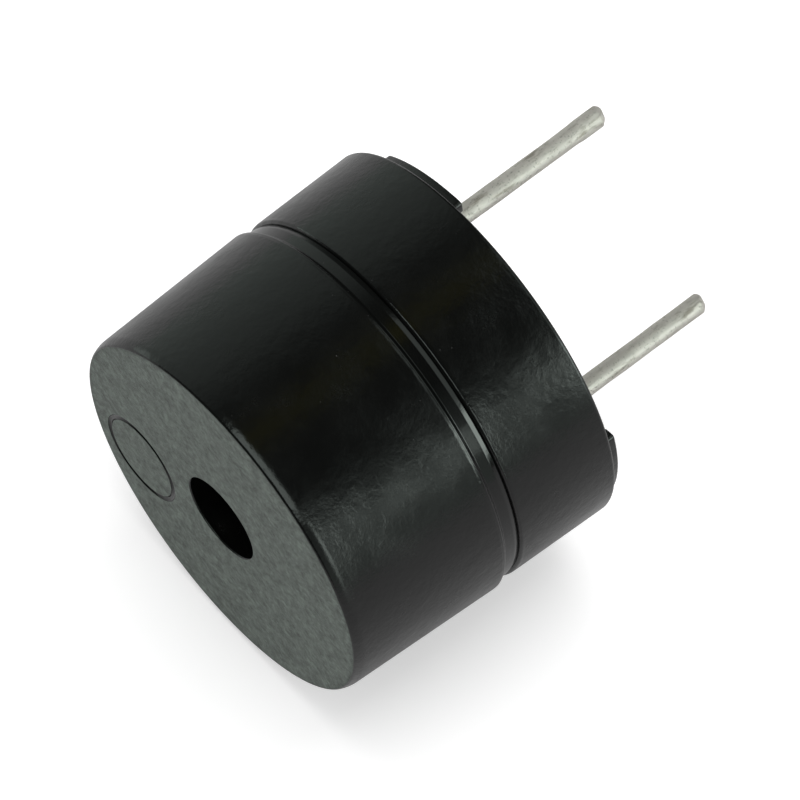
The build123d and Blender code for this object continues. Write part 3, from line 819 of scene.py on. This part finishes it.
def tent_world():
    """A light tent: white to the camera, grey walls with a dark side in reflections, even fill else."""
    world = bpy.data.worlds.new("tent")
    bpy.context.scene.world = world
    world.use_nodes = True
    make = Tree(world.node_tree)
    make.tree.nodes.clear()
    way = make.node("ShaderNodeTexCoord", output="Generated")
    ahead = Vector(polar(1.0, LIGHT_ANGLE) + (0.0,))
    across = Vector(polar(1.0, LIGHT_ANGLE + 90) + (0.0,))

    def along(axis):
        return make.node("ShaderNodeVectorMath", {"operation": "DOT_PRODUCT"}, {0: way, 1: axis},
                         output="Value")

    forward, sideways = along(ahead), along(across)
    turn = sideways.math("ARCTAN2", forward) / (2 * math.pi) + 0.5
    angle = turn * 360 - 180
    lift = make.node("ShaderNodeSeparateXYZ", None, {0: way}, output="Z")

    def between(value, low, high, soft):
        return make.step(value, low - soft, low + soft) * (1 - make.step(value, high - soft, high + soft))

    stops = [((place + 180) / 360, WARM_WALL if level is None else grey(level))
             for place, level in WALL_LEVELS]
    tent = make.node("ShaderNodeValToRGB", {"stops": stops}, {0: turn})
    behind = make.step(angle.math("ABSOLUTE"), *BACK_ANGLES) * make.step(lift, *BACK_LIFTS)
    tent = make.blend(behind, tent, grey(BACK_LEVEL))
    tent = make.blend(make.step(lift.math("ABSOLUTE"), *HIGH_LIFTS), tent, grey(HIGH_LEVEL))
    for left, right, base, top, level in PANELS:
        panel = between(angle, left, right, PANEL_SOFT_ANGLE) * between(lift, base, top, PANEL_SOFT_LIFT)
        tent = make.blend(panel, tent, grey(level))
    glossy = make.node("ShaderNodeLightPath", output="Is Glossy Ray")
    seen = make.node("ShaderNodeLightPath", output="Is Camera Ray")
    tent = make.node("ShaderNodeMix", {"data_type": "RGBA", "blend_type": "MULTIPLY"},
                     {0: 1.0, 6: tent, 7: TENT_TINT}, output=2)
    colour = make.blend(seen, make.blend(glossy, grey(FILL_LEVEL), tent), grey(1.0))
    back = make.node("ShaderNodeBackground", None, {"Color": colour, "Strength": 1.0})
    make.node("ShaderNodeOutputWorld", None, {"Surface": back})


def key_light():
    """A wide soft lamp above the floor, towards the side of the short pin."""
    lamp = bpy.data.lights.new("key", "AREA")
    lamp.shape = "SQUARE"
    lamp.size = KEY_SIZE * MM
    lamp.energy = KEY_POWER
    light = bpy.data.objects.new("key", lamp)
    bpy.context.collection.objects.link(light)
    back = Vector((0.0, 0.0, FACE_Z / 2 - KEY_BACK))
    light.location = (floor_up * KEY_LIFT + floor_side * KEY_SIDE + back) * MM
    light.rotation_mode = "QUATERNION"
    light.rotation_quaternion = (body_middle * MM - light.location).to_track_quat("-Z", "Y")
    light.visible_glossy = False


def photo_camera():
    """The camera at the photograph's place."""
    azimuth, elevation = math.radians(VIEW_AZIMUTH), math.radians(VIEW_ELEVATION)
    back = Vector((math.sin(azimuth) * math.cos(elevation), -math.cos(azimuth) * math.cos(elevation),
                   math.sin(elevation)))
    right = Vector((0.0, 0.0, 1.0)).cross(back).normalized()
    axes = Matrix((right, back.cross(right), back)).transposed().to_4x4()
    lens = bpy.data.cameras.new("camera")
    lens.lens = VIEW_LENS
    lens.sensor_width = VIEW_SENSOR
    lens.clip_start, lens.clip_end = VIEW_CLIP
    camera = bpy.data.objects.new("camera", lens)
    bpy.context.collection.objects.link(camera)
    place = Matrix.Translation((Vector(VIEW_AIM) + back * VIEW_DISTANCE) * MM)
    camera.matrix_world = place @ axes @ Matrix.Rotation(math.radians(VIEW_ROLL), 4, "Z")
    bpy.context.scene.camera = camera


tent_world()
key_light()
photo_camera()
bpy.context.scene.view_settings.view_transform = "Standard"
